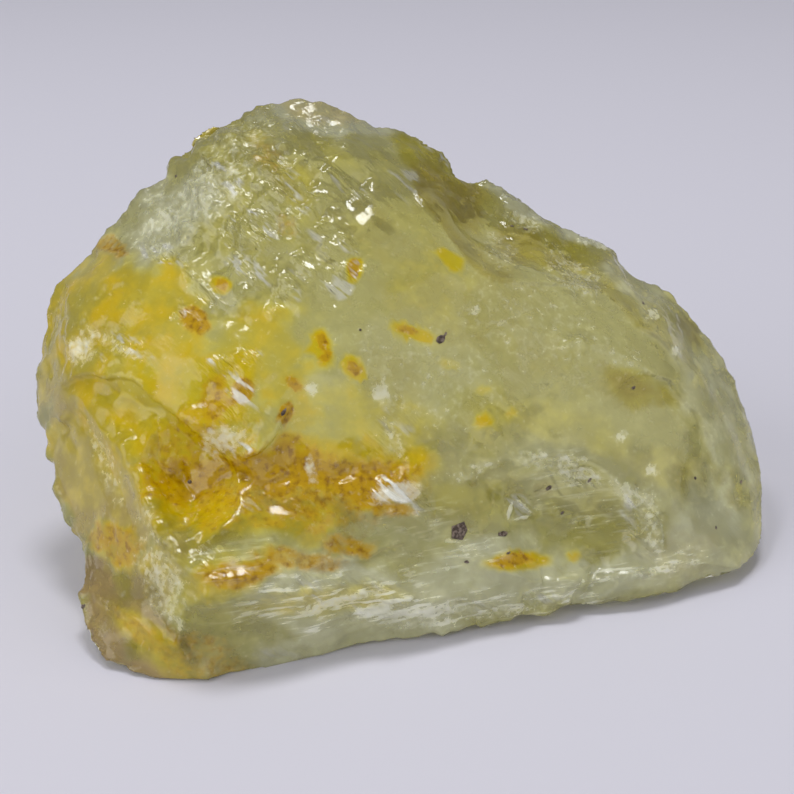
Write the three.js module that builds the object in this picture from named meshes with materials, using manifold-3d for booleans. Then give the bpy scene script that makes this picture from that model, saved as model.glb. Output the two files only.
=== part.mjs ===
// A raw chunk of lemon quartz, broken on every side: one solid, in millimetres, +Z up, resting on its base.
//
// The broad face of the chunk leans back from the viewer. Its corners are given in the frame of that face:
// u along it to the right, v up it and w out of it. The back and the base are given as they stand at rest:
// u to the right, depth away from the broad face and height above the table.
//
// The corners make a coarse cage. The cage is cut finer, its faces are eased into smooth fractures between
// crisp ridges, and then shells, steps and chips are broken out of it, as they are on the real stone.
import * as THREE from "three";
import { ImprovedNoise } from "three/addons/math/ImprovedNoise.js";
import { mergeVertices } from "three/addons/utils/BufferGeometryUtils.js";
import Module from "manifold-3d";

// ---- Driving dimensions ----

const LEAN = THREE.MathUtils.degToRad(25); // how far the broad face's frame leans back from upright
const TURN = THREE.MathUtils.degToRad(22); // brings the front foot parallel to X
const FOOT_V = -39.35; // where the front foot of the chunk is in the face's frame
const FOOT_W = 20;

const FRONT_EDGE = 3.15; // longest mesh edge on the broad face
const REAR_EDGE = 5.6; // and on the plainer sides behind it
const REAR_W = -14; // what lies further back than this along w is behind the broad face
const BASE_HEIGHT = 1; // and what lies lower than this above the table is on the base
// A cage edge that turns more than this stays a crisp ridge.
const FRONT_RIDGE_ANGLE = THREE.MathUtils.degToRad(20);
const REAR_RIDGE_ANGLE = THREE.MathUtils.degToRad(34);

// Easing moves a point this share of the way to the middle of its neighbours, round after round.
const EASING = { rounds: 4, onRidge: 0.15, elsewhere: 0.6 };

// Slow waves over the whole surface.
const SWELLS = [
  { height: 0.7, length: 15 },
  { height: 0.35, length: 6.5 },
];

// The hackles: steps in the fracture at the upper left, which run down to the right across the broad face.
const HACKLES = {
  at: [-20, 27], // u, v of the middle of the patch
  reach: [27, 17], // how far it goes along the steps and across them
  slope: THREE.MathUtils.degToRad(-42),
  step: 1.1, // height of one step
  spacing: 8.5,
  drop: 0.3, // share of the spacing over which a step falls
  bend: 0.6, // share of the spacing by which a step wanders
  bendLength: [14, 9], // how long a bend is, along the steps and across them
  fade: 2.5, // how fast the steps grow in from the patch's edge
};

// Shells broken out of the stone. Each is a shallow bowl: where its middle is, how wide and how deep.
const faceShells = [
  { at: [25, -18, 5], across: 22, deep: 2.0 }, // the round scallop at the lower right
  { at: [-30, -13, 15], across: 17, deep: 1.1 }, // inside the left ridge
  { at: [-8, -21.5, 20], across: 19, deep: 1.3 }, // the long smooth shell above the front ridge
  { at: [4, -21, 17], across: 16, deep: 0.9 },
  { at: [14, 27, -3], across: 13, deep: 1.2 },
  { at: [27, 21, -8], across: 12, deep: 1.0 },
  { at: [46, 8, -11], across: 13, deep: 0.8 },
  { at: [-12, 41, -1], across: 11, deep: 0.9 },
  { at: [-36, 24, 4], across: 14, deep: 0.8 },
  { at: [5, 6, 12], across: 24, deep: 0.9 },
  { at: [-2, -32, 14], across: 14, deep: 1.0 }, // under the front ridge
  { at: [-17, -32, 20], across: 11, deep: 0.9 },
  { at: [50, -15, -4], across: 16, deep: 0.8 },
];
const rearShells = [
  { at: [-44, 48, 26], across: 22, deep: 1.8 },
  { at: [-24, 66, 30], across: 24, deep: 2.0 },
  { at: [-4, 72, 44], across: 24, deep: 1.9 },
  { at: [14, 75, 20], across: 26, deep: 2.2 },
  { at: [30, 70, 34], across: 18, deep: 1.4 },
  { at: [46, 62, 20], across: 20, deep: 1.6 },
  { at: [-30, 62, 10], across: 18, deep: 1.3 },
  { at: [52, 47, 8], across: 14, deep: 1.0 },
];

const BOWL_REACH = 1 / 3; // a bowl moves what is within this share of its width above or below its middle

// Small chips knocked off the ridges.
const CHIPS = {
  count: 100,
  across: [3, 6.5],
  deepest: 0.13, // depth as a share of the width
  shallowest: 0.45, // as a share of the deepest
  tilt: 0.5, // how far a chip leans off the surface
};
// Another seed gives other chips, or bends the steps another way.
const CHIP_SEED = 105;
const BEND_SEED = 3.3;

// What is cut away under the table's height.
const SLAB = { side: 300, thickness: 40 };

// ---- Corners in the frame of the broad face: [u, v, w] ----

// Around the chunk as the broad face shows it, clockwise from the notch at its lower left.
const outline = [
  [-45.8, -23.6, 8], [-48, -21.9, 6], [-49.8, -18.4, 3.5], [-51.8, -14, 1], [-52.5, -11, -0.5],
  [-53.7, -7.4, -2], [-56, -3, -3], [-56.3, 1.5, -4], [-55.6, 7, -4.5], [-54, 13.8, -5],
  [-53.2, 16.6, -5], [-50.3, 20, -4.5], [-47, 21.8, -4], [-47, 24.1, -5], [-45, 26.6, -5],
  [-42.6, 29.4, -5], [-38.9, 33, -5], [-36.3, 35.1, -5.5], [-33.3, 38.7, -5], [-30.8, 42, -6],
  [-26.3, 42.8, -5], [-22.6, 44.8, -6], [-18.9, 46.2, -6], [-14.3, 47.2, -7], [-9.6, 46.2, -8],
  [-4, 43.2, -9], [2.1, 42.3, -11], [7.7, 39, -12], [9.8, 36.1, -12], [15.4, 34.1, -14],
  [20, 33, -15], [23.1, 29.1, -14], [29.2, 26.7, -16], [34.2, 26.9, -17], [36.7, 24.8, -18],
  [38.7, 21.2, -18], [43.4, 17.8, -19], [49.6, 13.3, -20], [53.6, 7.5, -20], [56.2, 1.5, -19],
  [58.3, -5.4, -17], [59.2, -12.6, -14], [57.9, -21.4, -9], [55.8, -25, -5], [53.2, -26.5, -2],
  [44.5, -28.5, 1], [38.5, -29.5, 3], [27, -30.7, 5], [21, -32, 7.5], [12, -33, 9],
  [5, -34.5, 11], [-2.5, -36, 12.5], [-9.5, -36.5, 14], [-15, -37.5, 15.5], [-22.5, -38.6, 18],
  [-25.5, -39.5, 20], [-34.5, -39.2, 20], [-40.2, -37.4, 18], [-43.8, -34.5, 16], [-45.3, -31.2, 14],
  [-45.7, -29, 12], [-46, -26.3, 10],
];

// On the broad face, from its ridges inwards.
const face = {
  leftRidge: [[-50, -0.5, 5], [-44.5, -2, 9], [-40, -6, 13], [-36.5, -9, 16], [-34.5, -14.5, 19],
    [-32, -19, 21], [-28.5, -22.5, 24]],
  frontRidge: [[-24.5, -25, 25.5], [-20, -26.5, 25], [-13, -27, 23], [-6.5, -26.5, 20], [-0.5, -28.5, 18],
    [7.5, -29, 14.5], [16.5, -29, 11.5], [25.5, -27.6, 8.8], [36, -26.5, 5.8], [46, -25, 2]],
  lobe: [[-42, -25.5, 12], [-34, -25.5, 20], [-37, -31.5, 20], [-30.5, -33, 22.5], [-28, -28.5, 24.5]],
  topEdge: [[-27.5, 35.5, 3], [-22, 37, 4.5], [-14.5, 36.5, 5], [-8, 37, 3], [-2, 35.5, 0]],
  shoulder: [[4, 27.5, 3], [8.5, 22, 4], [14, 18, 4], [22.5, 16, 2], [31, 14.5, -2],
    [39.5, 10.5, -5], [46, 4, -7], [51, -4.5, -8], [53, -13, -6.5], [52, -21.5, -3]],
  upperRow: [[-43, 19, 4], [-37, 24, 4], [-29, 26, 7.5], [-20, 25, 10], [-11, 25, 10], [-2.5, 24.5, 8.5]],
  middleRow: [[-48, 13, 4], [-42, 11.5, 8], [-34.5, 14, 10], [-25.5, 14, 12.5], [-15, 14.5, 14],
    [-6.5, 14, 13.5], [3.5, 15.5, 10.5], [9.5, 16.5, 6]],
  lowerRow: [[-49, 6, 4.5], [-43, 6.5, 9.5], [-35, 5.5, 13.5], [-27, 5, 16], [-18, 5, 17],
    [-9.5, 4, 16.5], [0.5, 4, 14], [10.5, 7, 10], [21, 8.5, 6], [32, 8, 2], [40, 2.5, -1]],
  ledge: [[-41, 3, 11.7], [-33, 0, 14.3], [-27, -4.5, 16.5], [-22, -8, 18.4], [-18, -5, 18],
    [-15.5, -1.5, 17.3]],
  ledgeFoot: [[-42, 1, 10.9], [-34.2, -2.2, 12.8], [-28.4, -6.7, 14.8], [-22.5, -10.5, 16.3],
    [-16.3, -7.2, 16.4], [-13.3, -2.7, 16.4]],
  hollow: [[-34, -8.5, 13.5], [-28.5, -13.5, 15.8], [-19, -12.5, 16.8], [-11.5, -10.5, 16.2],
    [-2.5, -10.5, 14.5]],
  step: [[-21.5, -15, 20.5], [-9.5, -15.5, 19], [0.5, -14, 16], [6, -14.5, 13]],
  lowerShell: [[-25.5, -19.5, 23], [-16, -21, 22], [-8, -20.5, 20], [0.5, -21.5, 17.5], [7.5, -22.5, 14]],
  middleRight: [[7.5, -5, 11], [18, -3.5, 8.5], [28.5, -5, 4.5], [38.5, -6.5, 1]],
  scallopRim: [[10, -10.5, 10.5], [18, -8.5, 9], [27, -10, 6], [34, -13, 5], [38.5, -19, 4.5],
    [38, -24.5, 5]],
  scallop: [[18, -16.5, 6.5], [27.5, -18.5, 3.5], [21, -23, 8], [30.5, -24, 5], [33, -19.5, 3.5]],
  rightEnd: [[45, -3.5, -3], [46.5, -13, -1], [46, -20, 1]],
};

// ---- Corners of the back and the base, as they stand at rest: [u, depth, height] ----

const behind = {
  baseEdge: [[-41, 22, 0.5], [-42, 35, 0.5], [-36, 48, 0], [-20, 59, 0], [4, 66, 0.5], [26, 63, 0.5],
    [43, 53, 1], [53, 40, 1.5]],
  base: [[-32, 12, -1.2], [-27, 26, -1.6], [-29, 42, -1.4], [-8, 20, -1.4], [-6, 44, -1.6], [13, 31, -1.4],
    [15, 53, -1.4], [33, 42, -1.2], [33, 29, -1.2]],
  wallFoot: [[-47, 43, 14], [-41, 57, 17], [-25, 67, 15], [-2, 72, 18], [22, 72, 14], [41, 65, 13],
    [54, 52, 9]],
  wall: [[-48, 54, 31], [-35, 63, 35], [-14, 73, 34], [8, 76, 34], [27, 73, 26], [43, 66, 21]],
  wallHead: [[-34, 61, 48], [-20, 67, 54], [-6, 69, 54], [5, 71, 47], [21, 69, 39]],
};

// ---- Frames ----

// From the face's frame to [u, depth, height] at rest.
function standing([u, v, w]) {
  const up = v - FOOT_V;
  const out = w - FOOT_W;
  return new THREE.Vector3(
    u,
    up * Math.sin(LEAN) - out * Math.cos(LEAN),
    up * Math.cos(LEAN) + out * Math.sin(LEAN),
  );
}

// The other way, for the corners behind the broad face.
function facing([u, depth, height]) {
  return [
    u,
    FOOT_V + height * Math.cos(LEAN) + depth * Math.sin(LEAN),
    FOOT_W + height * Math.sin(LEAN) - depth * Math.cos(LEAN),
  ];
}

// ---- The cage ----

function isInside([u, v], loop) {
  let inside = false;
  loop.forEach(([au, av], i) => {
    const [bu, bv] = loop[(i + 1) % loop.length];
    if (av > v !== bv > v && u < au + ((v - av) * (bu - au)) / (bv - av)) inside = !inside;
  });
  return inside;
}

// How far point d lies inside the circle through a, b and c, which run anticlockwise. Over 0 is inside.
function inCircle(a, b, c, d) {
  const [au, av] = [a[0] - d[0], a[1] - d[1]];
  const [bu, bv] = [b[0] - d[0], b[1] - d[1]];
  const [cu, cv] = [c[0] - d[0], c[1] - d[1]];
  const [a2, b2, c2] = [au * au + av * av, bu * bu + bv * bv, cu * cu + cv * cv];
  return a2 * (bu * cv - cu * bv) - b2 * (au * cv - cu * av) + c2 * (au * bv - bu * av);
}

const FAR = 1000; // well away from the chunk on every side

// Delaunay triangles over the points in the face's plane. The first rimCount points are the outline,
// and triangles outside it are dropped.
function triangulate(points, rimCount) {
  const all = [...points, [-FAR, -FAR], [FAR, -FAR], [0, FAR]];
  const n = points.length;
  let triangles = [[n, n + 1, n + 2]];
  points.forEach((point, index) => {
    const hit = triangles.filter((t) => inCircle(...t.map((i) => all[i]), point) > 0);
    const edges = hit.flatMap(([a, b, c]) => [[a, b], [b, c], [c, a]]);
    const border = edges.filter(([a, b]) => !edges.some(([c, d]) => a === d && b === c));
    triangles = triangles.filter((t) => !hit.includes(t));
    triangles.push(...border.map(([a, b]) => [a, b, index]));
  });
  const rim = points.slice(0, rimCount);
  return triangles.filter((t) => {
    if (t.some((i) => i >= n)) return false;
    const centre = [0, 1].map((k) => (all[t[0]][k] + all[t[1]][k] + all[t[2]][k]) / 3);
    return isInside(centre, rim);
  });
}

function makeCage() {
  const front = Object.values(face).flat();
  const back = Object.values(behind).flat().map(facing);
  const rimCount = outline.length;
  const frontTriangles = triangulate([...outline, ...front], rimCount);
  const backTriangles = triangulate([...outline, ...back], rimCount).map((t) => {
    const [a, b, c] = t.map((i) => (i < rimCount ? i : i + front.length));
    return [a, c, b];
  });
  return {
    points: [...outline, ...front, ...back].map(standing),
    triangles: [...frontTriangles, ...backTriangles],
  };
}

// ---- Working on the mesh ----

const edgeKey = (a, b) => (a < b ? `${a},${b}` : `${b},${a}`);

function normalOf({ points }, [a, b, c]) {
  const ab = points[b].clone().sub(points[a]);
  return ab.cross(points[c].clone().sub(points[a])).normalize();
}

const isBehind = (point) => facing(point.toArray())[2] < REAR_W || point.z < BASE_HEIGHT;

const leastAngle = ({ points }, a, b) =>
  isBehind(points[a]) || isBehind(points[b]) ? REAR_RIDGE_ANGLE : FRONT_RIDGE_ANGLE;

// The edges where two faces meet sharply.
function findRidges(mesh) {
  const firstNormal = new Map();
  const ridges = new Set();
  for (const triangle of mesh.triangles) {
    const normal = normalOf(mesh, triangle);
    triangle.forEach((a, i) => {
      const b = triangle[(i + 1) % 3];
      const key = edgeKey(a, b);
      if (!firstNormal.has(key)) firstNormal.set(key, normal);
      else if (firstNormal.get(key).angleTo(normal) > leastAngle(mesh, a, b)) ridges.add(key);
    });
  }
  return ridges;
}

// Halves every edge that is too long for its place, and cuts each triangle to suit, until none is left.
function refine(mesh, ridges) {
  const { points } = mesh;
  for (;;) {
    const middles = new Map();
    const middleOf = (a, b) => {
      const key = edgeKey(a, b);
      if (middles.has(key)) return middles.get(key);
      const centre = points[a].clone().add(points[b]).multiplyScalar(0.5);
      const longest = isBehind(centre) ? REAR_EDGE : FRONT_EDGE;
      if (points[a].distanceTo(points[b]) <= longest) return null;
      const middle = points.push(centre) - 1;
      middles.set(key, middle);
      if (ridges.has(key)) [a, b].forEach((end) => ridges.add(edgeKey(end, middle)));
      return middle;
    };
    mesh.triangles = mesh.triangles.flatMap((triangle) => cutTriangle(points, triangle, middleOf));
    if (!middles.size) return;
  }
}

// One triangle as one to four triangles, by which of its edges have a middle.
function cutTriangle(points, triangle, middleOf) {
  const middles = triangle.map((a, i) => middleOf(a, triangle[(i + 1) % 3]));
  const count = middles.filter((m) => m !== null).length;
  if (count === 0) return [triangle];
  if (count === 3) {
    const [a, b, c] = triangle;
    const [ab, bc, ca] = middles;
    return [[a, ab, ca], [ab, b, bc], [ca, bc, c], [ab, bc, ca]];
  }
  // Turned so that the first edge has the only middle, or the last has the only lack of one.
  const turn = count === 1 ? middles.findIndex((m) => m !== null) : (middles.indexOf(null) + 1) % 3;
  const [a, b, c] = [0, 1, 2].map((i) => triangle[(i + turn) % 3]);
  const [ab, bc] = [middles[turn], middles[(turn + 1) % 3]];
  if (count === 1) return [[a, ab, c], [ab, b, c]];
  const towardsA = points[a].distanceTo(points[bc]) < points[ab].distanceTo(points[c]);
  const rest = towardsA ? [[a, ab, bc], [a, bc, c]] : [[a, ab, c], [ab, bc, c]];
  return [[ab, b, bc], ...rest];
}

// Moves each point towards the middle of its neighbours. A point on a ridge heeds only those on the ridge.
function ease(mesh, ridges) {
  const around = mesh.points.map(() => new Set());
  const along = mesh.points.map(() => []);
  for (const triangle of mesh.triangles) {
    triangle.forEach((a, i) => {
      const b = triangle[(i + 1) % 3];
      around[a].add(b);
      around[b].add(a);
    });
  }
  for (const key of ridges) {
    const [a, b] = key.split(",").map(Number);
    if (!around[a].has(b)) continue;
    along[a].push(b);
    along[b].push(a);
  }
  for (let round = 0; round < EASING.rounds; round++) {
    mesh.points = mesh.points.map((point, i) => {
      const onRidge = along[i].length > 1;
      const neighbours = onRidge ? along[i] : [...around[i]];
      const middle = new THREE.Vector3();
      neighbours.forEach((j) => middle.add(mesh.points[j]));
      middle.divideScalar(neighbours.length);
      return point.clone().lerp(middle, onRidge ? EASING.onRidge : EASING.elsewhere);
    });
  }
}

function pointNormals(mesh) {
  const normals = mesh.points.map(() => new THREE.Vector3());
  for (const [a, b, c] of mesh.triangles) {
    const ab = mesh.points[b].clone().sub(mesh.points[a]);
    const cross = ab.cross(mesh.points[c].clone().sub(mesh.points[a]));
    [a, b, c].forEach((i) => normals[i].add(cross));
  }
  return normals.map((n) => n.normalize());
}

const perlin = new ImprovedNoise();

function swell(mesh) {
  const normals = pointNormals(mesh);
  mesh.points.forEach((point, i) => {
    let rise = 0;
    for (const { height, length } of SWELLS) {
      rise += height * perlin.noise(point.x / length, point.y / length, point.z / length);
    }
    point.addScaledVector(normals[i], rise);
  });
}

// Raises the surface slowly and drops it sharply, over and over, across the run of the steps.
function addHackles(mesh) {
  const { at, reach, slope, step, spacing, drop, bendLength, fade } = HACKLES;
  const normals = pointNormals(mesh);
  mesh.points.forEach((point, i) => {
    if (isBehind(point)) return;
    const [u, v] = facing(point.toArray());
    const along = (u - at[0]) * Math.cos(slope) + (v - at[1]) * Math.sin(slope);
    const across = (v - at[1]) * Math.cos(slope) - (u - at[0]) * Math.sin(slope);
    const strength = 1 - Math.hypot(along / reach[0], across / reach[1]);
    if (strength <= 0) return;
    const bend = HACKLES.bend * perlin.noise(along / bendLength[0], across / bendLength[1], BEND_SEED);
    const phase = across / spacing + bend;
    const part = phase - Math.floor(phase);
    const rise = part < 1 - drop ? part / (1 - drop) - 0.5 : (1 - part) / drop - 0.5;
    point.addScaledVector(normals[i], step * rise * Math.min(1, fade * strength));
  });
}

// Sinks a round bowl into the surface.
function sinkBowl(mesh, place, facingOut, across, deep) {
  for (const point of mesh.points) {
    const offset = point.clone().sub(place);
    const height = offset.dot(facingOut);
    const share = (offset.lengthSq() - height ** 2) / (across / 2) ** 2;
    const inReach = Math.abs(height) < across * BOWL_REACH;
    if (share < 1 && inReach) point.addScaledVector(facingOut, deep * (share - 1));
  }
}

// Knocks a chip off: a ball dips into the surface, and every point above its skin is sunk straight in
// until it lies on it.
function knockOff(mesh, place, facingOut, across, deep) {
  const radius = ((across / 2) ** 2 + deep ** 2) / (2 * deep);
  const centre = place.clone().addScaledVector(facingOut, radius - deep);
  for (const point of mesh.points) {
    const offset = point.clone().sub(centre);
    const height = offset.dot(facingOut);
    const sideways = Math.sqrt(Math.max(0, offset.lengthSq() - height ** 2));
    if (sideways > across / 2 || offset.length() > radius) continue;
    const sink = Math.sqrt(radius ** 2 - sideways ** 2) + height;
    point.addScaledVector(facingOut, -Math.min(sink, deep));
  }
}

function sinkShells(mesh, shells, toStanding) {
  for (const { at, across, deep } of shells) {
    const normals = pointNormals(mesh);
    const aim = toStanding(at);
    let nearest = mesh.points[0];
    for (const point of mesh.points) {
      if (point.distanceTo(aim) < nearest.distanceTo(aim)) nearest = point;
    }
    const place = nearest.clone();
    sinkBowl(mesh, place, averageNormal(mesh, normals, place, across / 2), across, deep);
  }
}

function averageNormal(mesh, normals, place, reach) {
  const sum = new THREE.Vector3();
  mesh.points.forEach((point, i) => {
    if (point.distanceTo(place) < reach) sum.add(normals[i]);
  });
  return sum.normalize();
}

// A repeatable run of numbers from 0 to 1.
function makeRandom(seed) {
  let state = seed;
  return () => {
    state = (state * 16807) % 2147483647;
    return state / 2147483647;
  };
}

function chipRidges(mesh, ridges) {
  const random = makeRandom(CHIP_SEED);
  const normals = pointNormals(mesh);
  const onRidge = [...new Set([...ridges].flatMap((key) => key.split(",").map(Number)))];
  const [least, most] = CHIPS.across;
  const { lerp } = THREE.MathUtils;
  for (let i = 0; i < CHIPS.count; i++) {
    const index = onRidge[Math.floor(random() * onRidge.length)];
    const across = lerp(least, most, random() ** 2);
    const deep = across * CHIPS.deepest * lerp(CHIPS.shallowest, 1, random());
    const lean = new THREE.Vector3(random() - 0.5, random() - 0.5, random() - 0.5);
    const facingOut = normals[index].clone().addScaledVector(lean, CHIPS.tilt).normalize();
    knockOff(mesh, mesh.points[index].clone(), facingOut, across, deep);
  }
}

// ---- The solid ----

const WELD = 1e-4; // corners closer than this are one corner

const wasm = await Module();
wasm.setup();

function solidFrom(geometry) {
  const bare = geometry.index ? geometry.toNonIndexed() : geometry.clone();
  bare.deleteAttribute("normal");
  bare.deleteAttribute("uv");
  const merged = mergeVertices(bare, WELD);
  return new wasm.Manifold(
    new wasm.Mesh({
      numProp: 3,
      vertProperties: merged.attributes.position.array,
      triVerts: new Uint32Array(merged.index.array),
    }),
  );
}

function geometryFrom(solid) {
  const { vertProperties, triVerts } = solid.getMesh();
  return new THREE.BufferGeometry()
    .setAttribute("position", new THREE.BufferAttribute(vertProperties, 3))
    .setIndex(new THREE.BufferAttribute(triVerts, 1));
}

function meshGeometry({ points, triangles }) {
  return new THREE.BufferGeometry().setFromPoints(points).setIndex(triangles.flat());
}

// Everything below the table's height is cut away, which leaves the flat that the chunk rests on.
function cutFlat(geometry) {
  const { side, thickness } = SLAB;
  const slab = new THREE.BoxGeometry(side, side, thickness).translate(0, 0, -thickness / 2);
  return geometryFrom(solidFrom(geometry).subtract(solidFrom(slab)));
}

const stone = makeCage();
const ridges = findRidges(stone);
refine(stone, ridges);
ease(stone, ridges);
swell(stone);
addHackles(stone);
sinkShells(stone, faceShells, standing);
sinkShells(stone, rearShells, ([u, depth, height]) => new THREE.Vector3(u, depth, height));
chipRidges(stone, ridges);

const geometry = cutFlat(meshGeometry(stone));
geometry.rotateZ(-TURN);
geometry.computeBoundingBox();
const { min, max } = geometry.boundingBox;
geometry.translate(-(min.x + max.x) / 2, -(min.y + max.y) / 2, -min.z);
geometry.computeVertexNormals();

const quartz = new THREE.Mesh(
  geometry,
  new THREE.MeshStandardMaterial({ color: 0xa9ac6a, roughness: 0.3, metalness: 0 }),
);
quartz.name = "quartz";

const chunk = new THREE.Group();
chunk.add(quartz);

export default chunk;
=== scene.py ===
# The looks of the raw quartz chunk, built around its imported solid. Metres, in the row frame.
import math

import bmesh
import bpy
import numpy as np
from mathutils import Matrix, Vector, noise
from mathutils.kdtree import KDTree


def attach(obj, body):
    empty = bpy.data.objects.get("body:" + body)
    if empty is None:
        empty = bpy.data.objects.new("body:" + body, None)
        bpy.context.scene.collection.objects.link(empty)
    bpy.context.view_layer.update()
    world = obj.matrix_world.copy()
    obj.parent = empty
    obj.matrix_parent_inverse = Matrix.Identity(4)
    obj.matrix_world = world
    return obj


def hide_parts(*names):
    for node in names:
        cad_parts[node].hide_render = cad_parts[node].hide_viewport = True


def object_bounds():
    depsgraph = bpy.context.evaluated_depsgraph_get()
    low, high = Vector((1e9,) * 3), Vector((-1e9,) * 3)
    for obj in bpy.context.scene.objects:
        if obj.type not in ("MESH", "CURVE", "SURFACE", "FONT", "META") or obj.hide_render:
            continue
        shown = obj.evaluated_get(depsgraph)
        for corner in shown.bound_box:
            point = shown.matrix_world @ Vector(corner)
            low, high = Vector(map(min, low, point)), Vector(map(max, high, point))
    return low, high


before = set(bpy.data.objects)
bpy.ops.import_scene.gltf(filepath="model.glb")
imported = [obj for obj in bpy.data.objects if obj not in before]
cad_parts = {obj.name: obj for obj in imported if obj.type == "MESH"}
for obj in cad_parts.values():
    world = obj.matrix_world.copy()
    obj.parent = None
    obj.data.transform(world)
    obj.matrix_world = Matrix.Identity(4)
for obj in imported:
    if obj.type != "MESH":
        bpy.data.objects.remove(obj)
cad_low, cad_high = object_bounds()

MM = 0.001

# ---- The broad face's own frame ----
# The broad face of the chunk leans back. u runs along it to the right, v up it and w out of it, in mm.

LEAN = math.radians(25)
TURN = math.radians(22)
FACE_MIDDLE = Vector((-3.69, -5.35, 27.21)) * MM
FACE_U = Vector((math.cos(TURN), -math.sin(TURN), 0))
FACE_V = Vector((math.sin(LEAN) * math.sin(TURN), math.sin(LEAN) * math.cos(TURN), math.cos(LEAN)))
FACE_W = FACE_U.cross(FACE_V)
FACE_AXES = np.array([FACE_U, FACE_V, FACE_W])

VIEW_DISTANCE = 218  # mm
LENS = 65.03
SENSOR = 36
NEAREST = 0.01


def make_camera():
    data = bpy.data.cameras.new("camera")
    data.lens = LENS
    data.sensor_width = SENSOR
    data.clip_start = NEAREST
    camera = bpy.data.objects.new("camera", data)
    camera.location = FACE_MIDDLE + FACE_W * VIEW_DISTANCE * MM
    camera.rotation_euler = Matrix((FACE_U, FACE_V, FACE_W)).transposed().to_euler()
    bpy.context.scene.collection.objects.link(camera)
    bpy.context.scene.camera = camera


make_camera()

# ---- The marks of the broad face ----
# Their places and reaches are in pixels of the photo. The camera looks straight at the face, so a pixel
# stands for a place (right, up) in mm from the face's middle, as the face is seen.

PIXEL = 0.152  # mm across at the face's middle
PHOTO_MIDDLE = 397


def to_mm(pixels):
    return round(pixels * PIXEL, 1)


def spot(x, y):
    return to_mm(x - PHOTO_MIDDLE), to_mm(PHOTO_MIDDLE - y)


def area(middle, reach, slope):
    return spot(*middle), (to_mm(reach[0]), to_mm(reach[1])), slope


def ovals(*rows):
    return [(*area(middle, reach, slope), strength) for middle, reach, slope, strength in rows]


def paths(*rows):
    return [([spot(*corner) for corner in path], to_mm(width), height) for path, width, height in rows]


# An oval: its middle, how far it reaches along and across, its slope in degrees and its strength.
YELLOW = ovals(
    ((195, 400), (115, 90), 35, 1.0),
    ((135, 305), (105, 62), 10, 0.8),
    ((125, 420), (80, 75), 20, 0.95),
    ((195, 490), (90, 80), 0, 0.95),
    ((255, 350), (85, 60), 30, 0.7),
    ((330, 468), (150, 50), -3, 1.0),
    ((75, 320), (70, 110), 0, 0.72),
    ((80, 460), (50, 90), 15, 0.5),
    ((110, 370), (70, 60), 0, 0.8),
    ((170, 340), (80, 60), 0, 0.7),
    ((375, 425), (90, 50), 0, 0.5),
    ((295, 400), (45, 55), 0, 0.7),
    ((160, 545), (60, 60), 0, 0.5),
    ((118, 545), (44, 30), -25, 0.8),
    ((450, 259), (22, 12), -25, 1.3),
    ((413, 331), (32, 11), -20, 1.5),
    ((450, 365), (18, 9), -20, 0.6),
    ((484, 391), (12, 7), 0, 0.6),
    ((484, 420), (13, 11), 0, 1.0),
    ((512, 412), (9, 7), 0, 0.8),
    ((515, 561), (46, 13), 8, 1.1),
    ((575, 557), (12, 9), 0, 0.7),
    ((325, 350), (18, 30), 10, 1.4),
    ((353, 371), (16, 18), 0, 1.4),
    ((352, 270), (12, 18), 0, 1.2),
    ((222, 283), (16, 11), -40, 1.2),
    ((660, 470), (60, 30), -20, 0.3),
    ((590, 440), (40, 26), 0, 0.3),
    ((560, 425), (120, 36), -20, 0.3),
    ((152, 642), (100, 22), -42, 0.5),
    ((300, 185), (40, 30), -40, 0.3),
    ((230, 580), (90, 32), 10, 0.65),
    ((330, 600), (120, 20), 8, 0.5),
    ((700, 560), (90, 30), 10, 0.2),
    ((290, 524), (90, 30), 0, 0.6),
    ((225, 530), (60, 30), 20, 0.4),
    ((430, 300), (60, 90), -20, 0.25),
)
AMBER = ovals(
    ((195, 475), (70, 50), 0, 0.85),
    ((285, 470), (95, 40), 0, 1.0),
    ((370, 482), (80, 30), -8, 1.0),
    ((300, 500), (150, 34), 0, 0.7),
    ((240, 575), (60, 20), 8, 1.0),
    ((300, 562), (70, 18), -5, 0.75),
    ((243, 392), (17, 14), 0, 1.5),
    ((232, 400), (9, 7), 30, 1.2),
    ((195, 318), (24, 18), -40, 1.3),
    ((324, 342), (8, 13), 10, 1.6),
    ((328, 358), (7, 9), -10, 1.4),
    ((353, 370), (8, 9), 0, 1.6),
    ((292, 383), (9, 8), 0, 1.5),
    ((297, 390), (6, 7), 0, 1.3),
    ((284, 414), (9, 15), -20, 1.4),
    ((213, 400), (20, 36), 0, 0.8),
    ((200, 440), (70, 60), 20, 0.55),
    ((118, 545), (44, 30), -25, 0.7),
    ((150, 642), (90, 13), -42, 0.5),
    ((352, 268), (7, 13), 0, 1.3),
    ((283, 228), (20, 14), -40, 0.5),
    ((222, 283), (10, 7), -40, 1.2),
    ((395, 510), (36, 12), -5, 1.0),
    ((350, 545), (40, 16), 0, 0.85),
    ((300, 522), (90, 18), 0, 0.6),
    ((222, 516), (50, 28), 10, 0.55),
    ((115, 248), (24, 14), -20, 0.75),
    ((512, 561), (32, 8), 8, 1.2),
    ((408, 329), (18, 6), -20, 1.0),
    ((200, 655), (80, 30), -25, 0.5),
    ((265, 150), (40, 24), -40, 0.4),
)
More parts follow.
